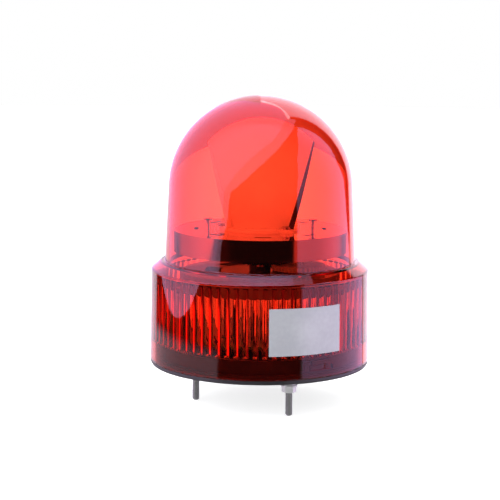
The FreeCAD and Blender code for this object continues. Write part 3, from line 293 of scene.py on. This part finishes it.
# rounds the corners of a profile, each told as (radius, height, rounding); a point stands just beyond
# each end of an arc so that the flats beside it shade flat.  Run to the arc = rounding / tan(half the corner)
def roundedProfile(corners, support=0.25, arcPoints=5):
    path = [np.array(corners[0][:2], float)]
    for before, here, after in zip(corners, corners[1:], corners[2:]):
        spot = np.array(here[:2], float)
        backward = np.array(before[:2], float) - spot
        onward = np.array(after[:2], float) - spot
        backward /= np.linalg.norm(backward)
        onward /= np.linalg.norm(onward)
        if here[2] == 0:
            path.append(spot)
            continue
        half = math.acos(float(np.clip(backward @ onward, -1, 1))) / 2
        run = here[2] / math.tan(half)
        bisector = (backward + onward) / np.linalg.norm(backward + onward)
        middle = spot + bisector * here[2] / math.sin(half)
        start, end = spot + backward * run, spot + onward * run
        path.append(spot + backward * (run + support))
        turn = np.linspace(0, 1, arcPoints)[:, None]
        chord = start * (1 - turn) + end * turn - middle
        path.extend(middle + chord / np.linalg.norm(chord, axis=1)[:, None] * here[2])
        path.append(spot + onward * (run + support))
    path.append(np.array(corners[-1][:2], float))
    return np.array(path)


# faces of a grid of rows by columns, from each point to its neighbour in the next column and the next row;
# columns close round unless told not to, and rows close when the section is a ring
def gridFaces(rows, columns, closeRound=True, closeRows=False):
    row = np.arange(rows if closeRows else rows - 1)[:, None]
    column = np.arange(columns if closeRound else columns - 1)[None, :]
    here, above = row * columns, (row + 1) % rows * columns
    following = (column + 1) % columns
    return np.stack([here + column, here + following, above + following, above + column], -1).reshape(-1, 4)


lensSizes = {
    "wall": 2.5, "footRadius": 60.0, "foot": 2.35, "headRadius": 59.26, "head": 52.0,
    "shoulderRadius": 54.0, "shoulder": 56.6, "domeFootRadius": 52.04, "draft": 2.8, "top": 146.1,
    "flutes": 72, "fluteFoot": 13.6, "fluteHead": 50.6, "fluteDepth": 1.45, "ribShare": 0.8,
    "lugBearing": 34.0, "lugArc": 14.0, "lugFoot": 6.2, "lugHead": 8.6, "lugReach": 2.0,
    "markFoot": 7.2, "markHead": 9.9, "markDepth": 0.5, "markArc": 1.3,
    "roundings": {"foot": 0.5, "head": 0.7, "shoulder": 0.6, "neck": 0.4, "inside": 0.7, "insideFoot": 0.4},
    "seam": 0.9,  # from the bore to where the outline starts, under the foot
    "ribEase": {"foot": 1.0, "head": 0.6}, "ribStart": -0.1, "ribEnd": -0.4,  # how the ribs' ends fade
    "domeRows": 42, "perFlute": 8, "smoothAngle": 40.0,
}
# rows that stand close together at the ends of the notch, of the ribs and of the lugs
outsideRows = {"markFoot": (-0.05, 0.05), "markHead": (-0.05, 0.05)}
insideRows = {"fluteHead": (-1.2, -0.9), "fluteFoot": (1.1, 0.7, -0.1, -0.5), "lugHead": (0.1, -0.1),
              "lugFoot": (0.1, -0.1)}


# rows laid along a straight wall: radius = foot radius + (height - foot) x slope
def rowsAlong(rows, foot, head):
    height = np.array([lensSizes[level] + offset for level, offsets in rows.items() for offset in offsets])
    slope = (head[0] - foot[0]) / (head[1] - foot[1])
    return np.stack([foot[0] + (height - foot[1]) * slope, height], 1)


# the lens is one closed surface: up the outside to the crown and down the inside.  Radius = profile radius
# - flute depth x rib shape (inside, between the flutes' ends) - lug reach (inside) - mark depth (outside).
# The dome is a ball on a cone: ball = (foot radius x cos draft - rise x sin draft) / (1 - sin draft)
def makeLens():
    s = lensSizes
    draft = math.radians(s["draft"])
    rise = s["top"] - s["shoulder"]
    ball = (s["domeFootRadius"] * math.cos(draft) - rise * math.sin(draft)) / (1 - math.sin(draft))
    middle = s["top"] - ball
    turn = np.linspace(draft, math.pi / 2, s["domeRows"])

    def dome(radius):
        return np.stack([radius * np.cos(turn), middle + radius * np.sin(turn)], 1)

    outerDome = dome(ball)
    innerDome = dome(ball - s["wall"])[::-1]
    neckFoot = s["shoulder"] - s["wall"]
    bore = s["footRadius"] - s["wall"]
    neckRadius = innerDome[-1, 0] + (innerDome[-1, 1] - neckFoot) * math.tan(draft)
    rounding = s["roundings"]
    outer = roundedProfile([
        (bore + s["seam"], s["foot"], 0), (s["footRadius"], s["foot"], rounding["foot"]),
        (s["headRadius"], s["head"], rounding["head"]),
        (s["shoulderRadius"], s["shoulder"], rounding["shoulder"]),
        (s["domeFootRadius"], s["shoulder"], rounding["neck"]), (*outerDome[0], 0)])[:-1]
    skirt = rowsAlong(outsideRows, (s["footRadius"], s["foot"]), (s["headRadius"], s["head"]))
    above = int(np.argmax(outer[:, 1] > skirt[-1, 1]))
    outer = np.concatenate([outer[:above], skirt, outer[above:]])
    headInside = (s["headRadius"] - s["wall"], s["head"] - s["wall"] / 2)
    inner = roundedProfile([
        (*innerDome[-1], 0), (neckRadius, neckFoot, rounding["inside"]),
        (s["shoulderRadius"] - s["wall"] / 2, neckFoot, rounding["inside"]),
        (*headInside, rounding["inside"]), (bore, s["foot"], rounding["insideFoot"]),
        (bore + s["seam"], s["foot"], 0)])[1:]
    wall = rowsAlong(insideRows, (bore, s["foot"]), headInside)
    below = int(np.argmax(inner[:, 1] < wall[0, 1]))
    inner = np.concatenate([inner[:below], wall, inner[below:]])
    profile = np.concatenate([outer, outerDome, innerDome, inner])
    inside = (np.arange(len(profile)) >= len(profile) - len(inner))[:, None]

    # each rib is a soft wave: shape = (1 - cos(turn)) / 2 over its share of a step, flat between the ribs
    columns = s["flutes"] * s["perFlute"]
    bearing = np.arange(columns) / columns * 2 * math.pi
    step = np.arange(s["perFlute"]) / s["perFlute"]
    gap = (1 - s["ribShare"]) / 2
    shape = (1 - np.cos(np.clip((step - gap) / s["ribShare"], 0, 1) * 2 * math.pi)) / 2
    shape = np.tile(shape, s["flutes"])
    radius, height = profile[:, :1], profile[:, 1:]
    overFoot = height - s["fluteFoot"] - s["ribStart"]
    underHead = s["fluteHead"] + s["ribEnd"] - height
    ribs = np.clip(overFoot / s["ribEase"]["foot"], 0, 1) * np.clip(underHead / s["ribEase"]["head"], 0, 1)
    degrees = np.degrees(bearing)[None, :]
    fromLug = np.abs((degrees - s["lugBearing"] + 60.0) % 120.0 - 60.0)
    lugs = (height > s["lugFoot"]) & (height < s["lugHead"]) & (fromLug < s["lugArc"] / 2)
    mark = ((height > s["markFoot"]) & (height < s["markHead"])
            & (np.abs(degrees - s["lugBearing"]) < s["markArc"] / 2))
    radius = (radius - s["fluteDepth"] * shape[None, :] * ribs * inside - s["lugReach"] * (lugs & inside)
              - s["markDepth"] * (mark & ~inside))
    points = np.stack([radius * np.sin(bearing), -radius * np.cos(bearing),
                       np.broadcast_to(height, radius.shape)], -1)
    crown = len(outer) + len(outerDome) - 1
    faces = gridFaces(len(profile), columns, closeRows=True)
    faces = faces[faces[:, 0] // columns != crown]  # nothing joins the two crown points
    part = (points.reshape(-1, 3) * mm, faces, ["redAcrylic"] * len(faces))
    piece = joinParts("lensMoulding", [part], s["smoothAngle"])
    work = bmesh.new()
    work.from_mesh(piece.data)
    bmesh.ops.remove_doubles(work, verts=work.verts, dist=1e-7)
    bmesh.ops.recalc_face_normals(work, faces=work.faces)
    work.to_mesh(piece.data)
    work.free()
    print("lens triangles:", sum(len(face.vertices) - 2 for face in piece.data.polygons))
    standFor(piece, "lens_globe")


makeLens()
print("lens made")

# pieces that keep their CAD form
finishOf = {
    "base_plate": "blackMoulding", "mounting_gasket": "blackRubber", "lens_seal": "blackRubber",
    "plain_washers": "brightNut", "spring_washers": "brightNut", "cable_grommet": "blackRubber",
    "standoff_pillars": "zincSteel", "base_screws": "zincSteel", "deck_screws": "zincSteel",
    "gear_deck": "smokeGrey", "spindle_holder": "blackMoulding", "spindle_tube": "zincSteel",
    "retaining_clip": "darkSteel", "thrust_washer": "acetal", "turning_drum": "chrome",
    "lower_bush": "bronze", "upper_bush": "bronze", "drum_gear": "blackMoulding",
    "idler_gear": "acetal", "motor_pinion": "brass", "gear_screws": "zincSteel",
    "idler_axle": "zincSteel", "axle_clip": "darkSteel", "motor_can": "zincSteel",
    "motor_end_cap": "blackMoulding", "motor_shaft": "zincSteel", "motor_screws": "zincSteel",
    "mirror_screws": "zincSteel", "lamp_tower": "aluminium", "led_boards": "whiteBoard",
    "led_emitters": "phosphor", "lamp_cap": "blackMoulding", "driver_board": "boardGreen",
    "board_screws": "zincSteel", "terminal_block": "terminalGreen", "capacitors": "sleeve",
    "power_inductor": "blackMoulding", "board_chips": "blackMoulding", "rating_label": "labelFoil",
}
for node, finish in finishOf.items():
    dress(node, finish)

mirrorSizes = {
    "focus": 97.0, "focalLength": 20.0, "wall": 1.6, "foot": 73.6, "footHalf": 17.4, "waist": 121.0,
    "waistHalf": 28.6, "top": 134.0, "rimFoot": 3.2, "rimTop": 0.7, "rimStand": 0.45, "rimGap": 0.004,
    "rows": 64, "rimSteps": 4, "backSteps": 41,
    "ringRadius": 21.0, "ringThickness": 1.8, "ringLift": 0.02, "ringChamfer": 0.3, "ringSteps": 240,
    "boreRadius": 9.5, "earCircle": 21.5, "earRadius": 3.6, "earBearing": 40.0,
}


# the shell: y = -focal length + (x squared + height over the focus squared) / (4 x focal length), trimmed
# to a keystone under an arc; round the shell each row runs over the back, then over the coated front
def mirrorShell():
    s = mirrorSizes
    rise = s["top"] - s["waist"]
    arc = (rise ** 2 + s["waistHalf"] ** 2) / (2 * rise)
    up = np.linspace(0, 1, s["rows"])[:, None]
    half = s["footHalf"] + (s["waistHalf"] - s["footHalf"]) * up
    rim = (s["rimFoot"] * (1 - up) + s["rimTop"] * up) / half
    # across a row: 0 to 1 is the left rim, 2 to 3 the plain back, 4 to 5 the right rim
    steps = np.linspace(0, 1, s["rimSteps"])
    share = np.concatenate([steps, np.linspace(0, 1, s["backSteps"]) + 2, steps + 4])
    onLeft, onRight = share < 1.5, share > 3.5
    back = (-1 + rim + s["rimGap"]) + (2 - 2 * rim - 2 * s["rimGap"]) * (share - 2)
    across = np.where(onLeft, -1 + rim * share, np.where(onRight, 1 - rim * (5 - share), back))
    x = across * half
    top = s["top"] - arc + np.sqrt(arc ** 2 - (s["waistHalf"] * across) ** 2)
    z = s["foot"] + up * (top - s["foot"])
    front = -s["focalLength"] + (x ** 2 + (z - s["focus"]) ** 2) / (4 * s["focalLength"])
    behind = front - s["wall"] - s["rimStand"] * (onLeft | onRight)[None, :]
    loop = [np.concatenate([one, other[:, ::-1]], 1) for one, other in ((x, x), (behind, front), (z, z))]
    points = np.stack(loop, -1).reshape(-1, 3) * mm
    rows, columns = loop[0].shape
    faces = gridFaces(rows, columns)
    column = faces[:, 0] % columns
    # painted shade: the right rim and the shell's top and bottom edges are coloured dark for the rim's shade;
    # the left rim keeps the back's colour
    shadedRimColumns = np.concatenate([onRight[:-1], [True], np.zeros(len(share), bool)])
    finish = np.where(shadedRimColumns[column], "darkEdge", "mirrorBack")
    finish = np.where(column >= len(share), "mirrorFront", finish)
    first = np.arange(len(share) - 1)
    facing = columns - 1 - first
    cap = np.stack([first + 1, first, facing, facing - 1], -1)
    faces = np.concatenate([faces, cap, (cap + (rows - 1) * columns)[:, ::-1]])
    return points, faces, list(finish) + ["darkEdge"] * (2 * len(cap))


# the ring under the shell: its outer radius is the ring's or, near an ear's bearing, the far side of the ear,
# ear circle x cos(off) + root of (ear radius squared - (ear circle x sin(off)) squared)
def mirrorRing():
    s = mirrorSizes
    bearing = np.linspace(0, 360, s["ringSteps"], endpoint=False)
    off = np.radians((bearing - s["earBearing"] + 60) % 120 - 60)
    inside = np.clip(s["earRadius"] ** 2 - (s["earCircle"] * np.sin(off)) ** 2, 0, None)
    ear = s["earCircle"] * np.cos(off) + np.sqrt(inside)
    outer = np.where(inside > 0, np.maximum(ear, s["ringRadius"]), s["ringRadius"])
    bore = np.full(len(bearing), s["boreRadius"])
    foot, head = s["foot"] + s["ringLift"], s["foot"] + s["ringThickness"]
    chamfer = s["ringChamfer"]
    section = [(bore, foot), (outer, foot), (outer, head - chamfer), (outer - chamfer, head), (bore, head)]
    radius = np.stack([reach for reach, _ in section])
    height = np.array([level for _, level in section])[:, None] + np.zeros(len(bearing))
    angle = np.radians(bearing)
    points = np.stack([radius * np.sin(angle), -radius * np.cos(angle), height], -1).reshape(-1, 3) * mm
    faces = gridFaces(len(section), len(bearing), closeRows=True)
    return points, faces, ["mirrorBack"] * len(faces)


standFor(joinParts("mirrorShell", [mirrorShell(), mirrorRing()]), "mirror")

hardware = {
    "studCircle": 35.0, "studBearing": 27.0, "studRadius": 2.0, "pitch": 0.7, "threadDepth": 0.38,
    "threadStart": 0.5, "plainUnderHead": 1.0, "tipRadius": 1.35, "tipHeight": 0.3, "headFlats": 7.0,
    "headHeight": 2.6, "nutFlats": 7.0, "boreRadius": 2.05, "boreChamfer": 0.3, "faceShare": 0.96,
    "cornerFall": 0.58, "leastFall": 0.02, "studSteps": 24, "turnSteps": 8, "nutSteps": 72,
    "sawSlope": 1.3, "sawTrim": 0.15, "tipShare": 0.8, "runOut": 0.2,
}


# a closed body of revolution about each stud's axis, told by (radius, height) rows for every bearing
def atStuds(radius, height, finish, hollow=False):
    rows, columns = radius.shape
    angle = np.linspace(0, 2 * math.pi, columns, endpoint=False)
    parts = []
    for step in range(3):
        bearing = math.radians(hardware["studBearing"] + 120 * step)
        x = hardware["studCircle"] * math.sin(bearing) + radius * np.sin(angle)
        y = -hardware["studCircle"] * math.cos(bearing) - radius * np.cos(angle)
        points = np.stack([x, y, height], -1).reshape(-1, 3) * mm
        faces = gridFaces(rows, columns, closeRows=hollow)
        parts.append((points, faces, [finish] * len(faces)))
    return parts


# radius of a hexagon = half its flats / cos(angle from the middle of a flat)
def hexRadius(flats, columns):
    angle = np.linspace(0, 2 * math.pi, columns, endpoint=False)
    off = (angle + math.pi / 6) % (math.pi / 3) - math.pi / 6
    return flats / 2 / np.cos(off)


# thread: radius = stud radius - depth x a saw of (height / pitch - angle / full turn) with its tips cut off
def makeStuds():
    h = hardware
    low, high = (corner[2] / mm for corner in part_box("mounting_studs"))
    under = high - h["headHeight"]
    angle = np.linspace(0, 1, h["studSteps"], endpoint=False)[None, :]
    start, end = low + h["threadStart"], under - h["plainUnderHead"]
    level = np.arange(start, end, h["pitch"] / h["turnSteps"])[:, None] + 0 * angle
    saw = np.abs((level / h["pitch"] - angle) % 1.0 * 2 - 1)
    thread = h["studRadius"] - h["threadDepth"] * np.clip(saw * h["sawSlope"] - h["sawTrim"], 0, 1)
    flat = np.ones((1, h["studSteps"]))
    head = hexRadius(h["headFlats"], h["studSteps"])[None, :]
    shank = h["studRadius"] * flat
    radius = np.concatenate([0 * flat, h["tipRadius"] * flat, thread[:1] * h["tipShare"], thread,
                             shank, shank, head, head, 0 * flat])
    tip, runOut = (low + h["tipHeight"]) * flat, (level[-1, 0] + h["runOut"]) * flat
    height = np.concatenate([low * flat, low * flat, tip, level, runOut, under * flat, under * flat,
                             high * flat, high * flat])
    standFor(joinParts("threadedStuds", atStuds(radius, height, "darkSteel"), 60.0), "mounting_studs")


# nut: a hexagon whose corners are turned off by a cone at both faces
def makeNuts():
    h = hardware
    low, high = (corner[2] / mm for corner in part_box("stud_nuts"))
    flat = np.ones(h["nutSteps"])
    hexagon = hexRadius(h["nutFlats"], h["nutSteps"])
    face = h["nutFlats"] / 2 * h["faceShare"]
    drop = np.clip((hexagon - face) * h["cornerFall"], h["leastFall"], None)
    bore, mouth, chamfer = h["boreRadius"], h["boreRadius"] + h["boreChamfer"], h["boreChamfer"]
    radius = np.stack([bore * flat, mouth * flat, face * flat, hexagon, hexagon, face * flat, mouth * flat,
                       bore * flat])
    height = np.stack([(low + chamfer) * flat, low * flat, low * flat, low + drop, high - drop, high * flat,
                       high * flat, (high - chamfer) * flat])
    standFor(joinParts("chamferedNuts", atStuds(radius, height, "brightNut", True), 25.0), "stud_nuts")


makeStuds()
makeNuts()
print("pieces dressed:", len(finishOf))

stage = {
    "distance": 6000.0, "centre": (0.0, 0.0, 90.0), "sideSteps": 6, "rings": 9, "stripSteps": 5,
    "fade": (70.0, 115.0), "matt": (0.97, 0.97, 1.0),  # the tint that matt surfaces get
}
# corners as (bearing from the camera side, height) in degrees; the foot of the left panel is a parabola
bottomEdge = [(bearing, -10.6 + 1.9 * ((bearing + 98) / 34) ** 2) for bearing in range(-180, -62, 9)]
leftRim = [(-60, -8), (-51.5, -3), (-47, -2), (-39, 11), (-25, 31), (-6, 49), (25, 63), (59, 70), (98, 71),
           (133, 62)]
panels = {
    "leftPanel": {"corners": leftRim + [(160, 52), (-175, 42), (-170, 20), (-172, 0)] + bottomEdge,
                  "middle": (-105, 45), "strength": 2.8, "colour": (0.95, 0.66, 1.1), "far": 0.65},
    "leftStrip": {"corners": leftRim + [(133, 54), (98, 61), (59, 60), (29, 51), (9, 40), (-13, 21),
                                        (-29.5, 5), (-40.5, -2), (-47, -3), (-54, -8)],
                  "middle": None, "strength": 2.0, "colour": (0.95, 0.64, 0.98), "far": 0.65},
    "rightPanel": {"corners": [(44.5, -16), (44.5, 4), (54, 35), (90, 56), (114, 56), (120, 40), (122, 23),
                               (120, 13), (126, 1), (126, -4), (133, -6), (140, -16)],
                   "middle": (85, 12), "strength": 1.45, "colour": (0.95, 0.64, 1.12), "far": 1.5},
    "backPanel": {"corners": [(118, 59), (136, 58), (165, 47), (180, 37), (180, 42), (160, 52), (133, 62),
                              (118, 66)],
                  "middle": None, "strength": 4.0, "colour": (0.95, 0.93, 1.06), "far": 1.0},
}

room = {
    "tint": (0.96, 0.88, 1.04), "ambient": 0.9, "through": 0.05,
    "cameraSide": 0.02, "sides": 0.9, "leftBack": 1.35, "rightBack": 2.1,
    "sidesFrom": (42.0, 46.0), "backFrom": (138.0, 143.0),  # bearings either way from the camera side
    "lowLeft": (-0.185, -0.195), "lowRight": (-0.1, -0.12),  # heights under which the sides are lit
    "inWall": 0.65, "beyondWall": 0.45,  # what light keeps that has been inside the lens's wall, or past it
    "falling": (-0.02, 0.06), "fallingLoss": 0.8,  # the rise of a direction under which it counts as low
    "away": (118.0, 138.0), "awayLoss": 0.75,  # the bearing past which it counts as at the back
}


# unit direction = (sin bearing x cos height, -cos bearing x cos height, sin height)
def toward(bearing, height):
    a, e = np.radians(bearing), np.radians(height)
    return np.stack([np.sin(a) * np.cos(e), -np.cos(a) * np.cos(e), np.sin(e)], -1)


# a panel is drawn on a far sphere about the beacon, its corners joined by great circles; a panel with a
# middle is a fan about it, and a panel without one is a strip between the two halves of its outline
def panelGrid(panel):
    corners = toward(*np.array(panel["corners"], float).T)
    if panel["middle"]:
        along = np.linspace(0, 1, stage["sideSteps"], endpoint=False)[None, :, None]
        rim = (corners[:, None, :] * (1 - along) + np.roll(corners, -1, 0)[:, None, :] * along).reshape(-1, 3)
        out = np.linspace(0, 1, stage["rings"])[:, None, None]
        return toward(*panel["middle"]) * (1 - out) + rim[None, :, :] * out, True
    half = len(corners) // 2
    along = np.linspace(0, half - 1, half * stage["stripSteps"])
    sides = []
    for side in (corners[:half], corners[half:][::-1]):
        sides.append(np.stack([np.interp(along, np.arange(half), side[:, axis]) for axis in range(3)], -1))
    return np.stack(sides), False


# 1 for rays that have come straight from the camera, or have only passed through clear pieces
def straightRay(flow):
    turned = rayFact(flow, "Glossy Depth") + rayFact(flow, "Diffuse Depth")
    passed = rayFact(flow, "Is Transmission Ray") * (turned < 0.5)
    return flow.math("MAXIMUM", rayFact(flow, "Is Camera Ray"), passed)


# 1 for rays that a matt surface has sent on
def scatteredRay(flow):
    return rayFact(flow, "Diffuse Depth") > 0.5


# 1 for rays that a shiny surface has sent on, with no matt surface before it
def mirroredRay(flow):
    return (rayFact(flow, "Glossy Depth") > 0.5) * (1 - scatteredRay(flow))


# bearing of a direction in degrees = angle of (x, -y), 0 towards the camera and rising to the right
def bearingOf(flow, direction):
    x, y = (partOf(flow, direction, axis) for axis in range(2))
    return flow.math("ARCTAN2", x, y * -1.0) * (180 / math.pi)


# share of the room's light that a mirrored ray keeps: all of it off the lens itself; inside the wall, with
# up to three surfaces crossed, inWall x (1 - fallingLoss if it leaves low and not at the back); past the
# wall, beyondWall x (1 - awayLoss if it leaves at the back), or all of it if it leaves upwards
def wallShare(flow, direction):
    crossed = rayFact(flow, "Transmission Depth")
    unit = flow.node("ShaderNodeVectorMath", {"operation": "NORMALIZE"}, {0: direction})
    falling = 1 - partOf(flow, unit, 2).ease(*room["falling"])
    away = flow.math("ABSOLUTE", bearingOf(flow, direction)).ease(*room["away"])
    wall = room["inWall"] * (1 - room["fallingLoss"] * falling * (1 - away))
    inWall = (crossed > 0.5) * (1 - wall)
    beyond = (crossed > 3.5) * (wall - room["beyondWall"] * (1 - room["awayLoss"] * away))
    through = (crossed > 3.5) * (1 - falling)
    return 1 - (inWall + beyond) * (1 - through) * mirroredRay(flow)


# a panel is clear to straight rays and glows for all others, for mirrored ones with
# strength x (1 - (1 - far) x ease of the bearing) x the share of the light that is left
def makePanel(name, panel):
    grid, closed = panelGrid(panel)
    grid = grid / np.linalg.norm(grid, axis=2)[:, :, None]
    points = (grid.reshape(-1, 3) * stage["distance"] + np.array(stage["centre"])) * mm
    mesh = bpy.data.meshes.new(name)
    mesh.from_pydata(points.tolist(), [], gridFaces(grid.shape[0], grid.shape[1], closed).tolist())

    def draw(flow):
        mirrored = mirroredRay(flow)
        direction = place(flow)
        away = flow.math("ABSOLUTE", bearingOf(flow, direction)).ease(*stage["fade"])
        strength = (1 - mirrored * (1 - panel["far"]) * away) * wallShare(flow, direction) * panel["strength"]
        colour = blendColour(flow, mirrored, stage["matt"], panel["colour"])
        glow = flow.node("ShaderNodeEmission", {}, {"Color": colour, "Strength": strength})
        clear = flow.node("ShaderNodeBsdfTransparent")
        return flow.node("ShaderNodeMixShader", {}, {0: straightRay(flow), 1: glow, 2: clear}), None

    mesh.materials.append(makeMaterial(name, draw))
    addObject(name, mesh)


for name, panel in panels.items():
    makePanel(name, panel)

floorSizes = {
    "height": -23.2, "radii": (0.0, 200.0, 600.0, 2600.0), "steps": 96,
    "paper": ((0.84, 0.84, 0.84), (0.8, 0.8, 0.8)), "grain": 8.0, "roughness": 0.5, "glow": 0.62,
    "far": (0.34, 0.56), "nearShare": 0.05, "dimShare": 0.06,
}


# the sweep: a lit white sheet for the camera, for rays that have passed through clear pieces if they land far
# out, and for scattered rays; it is nearly black for the rest and unseen by mirrored rays
def makeFloor():
    s = floorSizes
    turn = np.linspace(0, 2 * math.pi, s["steps"], endpoint=False)
    radius = np.array(s["radii"])[:, None]
    points = np.stack([radius * np.cos(turn), radius * np.sin(turn),
                       np.full((len(radius), len(turn)), s["height"])], -1).reshape(-1, 3) * mm

    def draw(flow):
        where = place(flow)
        paper = blendColour(flow, noise(flow, where, s["grain"]), *s["paper"])
        matt = flow.node("ShaderNodeBsdfDiffuse", {}, {"Color": paper, "Roughness": s["roughness"]})
        flat = flow.node("ShaderNodeVectorMath", {"operation": "MULTIPLY"}, {0: where, 1: (1, 1, 0)})
        out = flow.node("ShaderNodeVectorMath", {"operation": "LENGTH"}, {0: flat}, out=1).ease(*s["far"])
        passed = (out * (1 - s["nearShare"]) + s["nearShare"]) * straightRay(flow)
        share = flow.math("MAXIMUM", rayFact(flow, "Is Camera Ray"), passed)
        glow = flow.node("ShaderNodeEmission", {}, {"Color": (1, 1, 1, 1), "Strength": s["glow"]})
        lit = flow.node("ShaderNodeAddShader", {}, {0: matt, 1: glow})
        black = flow.node("ShaderNodeBsdfDiffuse", {}, {"Color": (0.0, 0.0, 0.0, 1)})
        dim = flow.node("ShaderNodeMixShader", {}, {0: s["dimShare"], 1: black, 2: matt})
        seen = flow.math("MAXIMUM", share, scatteredRay(flow))
        plain = flow.node("ShaderNodeMixShader", {}, {0: seen, 1: dim, 2: lit})
        unseen = flow.node("ShaderNodeBsdfTransparent")
        return flow.node("ShaderNodeMixShader", {}, {0: mirroredRay(flow), 1: plain, 2: unseen}), None

    mesh = bpy.data.meshes.new("floor")
    mesh.from_pydata(points.tolist(), [], gridFaces(len(radius), len(turn)).tolist())
    mesh.materials.append(makeMaterial("floorPaper", draw))
    floor = addObject("floor", mesh)
    floor.visible_glossy = False


makeFloor()


# the room: white straight through, even for scattered rays, and for mirrored ones dark about the camera,
# brighter low at the sides and brightest behind
def makeWorld():
    world = bpy.data.worlds.new("room")
    world.use_nodes = True
    tree = world.node_tree
    tree.nodes.clear()
    flow = Flow(tree)
    direction = flow.node("ShaderNodeTexCoord", out=0)
    height = partOf(flow, direction, 2)
    bearing = bearingOf(flow, direction)
    away = flow.math("ABSOLUTE", bearing)
    right = bearing > 0.0
    low = height.ease(*room["lowLeft"]) * (1 - right) + height.ease(*room["lowRight"]) * right
    sides = away.ease(*room["sidesFrom"]) * low * room["sides"]
    back = away.ease(*room["backFrom"]) * (right * room["rightBack"] + (1 - right) * room["leftBack"])
    mirroredLevel = flow.math("MAXIMUM", sides, back) + room["cameraSide"]
    mirrored = mirroredRay(flow)
    scattered = scatteredRay(flow)
    level = (mirroredLevel * mirrored * wallShare(flow, direction) + scattered * room["ambient"]
             + (1 - mirrored) * (1 - scattered) * room["through"])
    straight = straightRay(flow)
    level = level * (1 - straight) + straight
    colour = blendColour(flow, mirrored * (1 - straight), (1.0, 1.0, 1.0), room["tint"])
    glow = flow.node("ShaderNodeBackground", {}, {"Color": colour, "Strength": level})
    output = tree.nodes.new("ShaderNodeOutputWorld")
    tree.links.new(glow.socket, output.inputs["Surface"])
    scene.world = world


makeWorld()

cameraSizes = {
    "place": (-5.54, -855.3, 193.3), "down": 8.756, "roll": 0.48, "lens": 113.89, "sensor": 36.0,
    "clip": (0.05, 20.0),  # metres
}


def makeCamera():
    s = cameraSizes
    data = bpy.data.cameras.new("camera")
    data.lens = s["lens"]
    data.sensor_width = s["sensor"]
    data.clip_start, data.clip_end = s["clip"]
    camera = addObject("camera", data)
    tilt = Matrix.Rotation(math.radians(90 - s["down"]), 4, "X")
    lean = Matrix.Rotation(math.radians(s["roll"]), 4, "Z")
    camera.matrix_world = Matrix.Translation(Vector(s["place"]) * mm) @ tilt @ lean
    scene.camera = camera


makeCamera()
print("stage set")
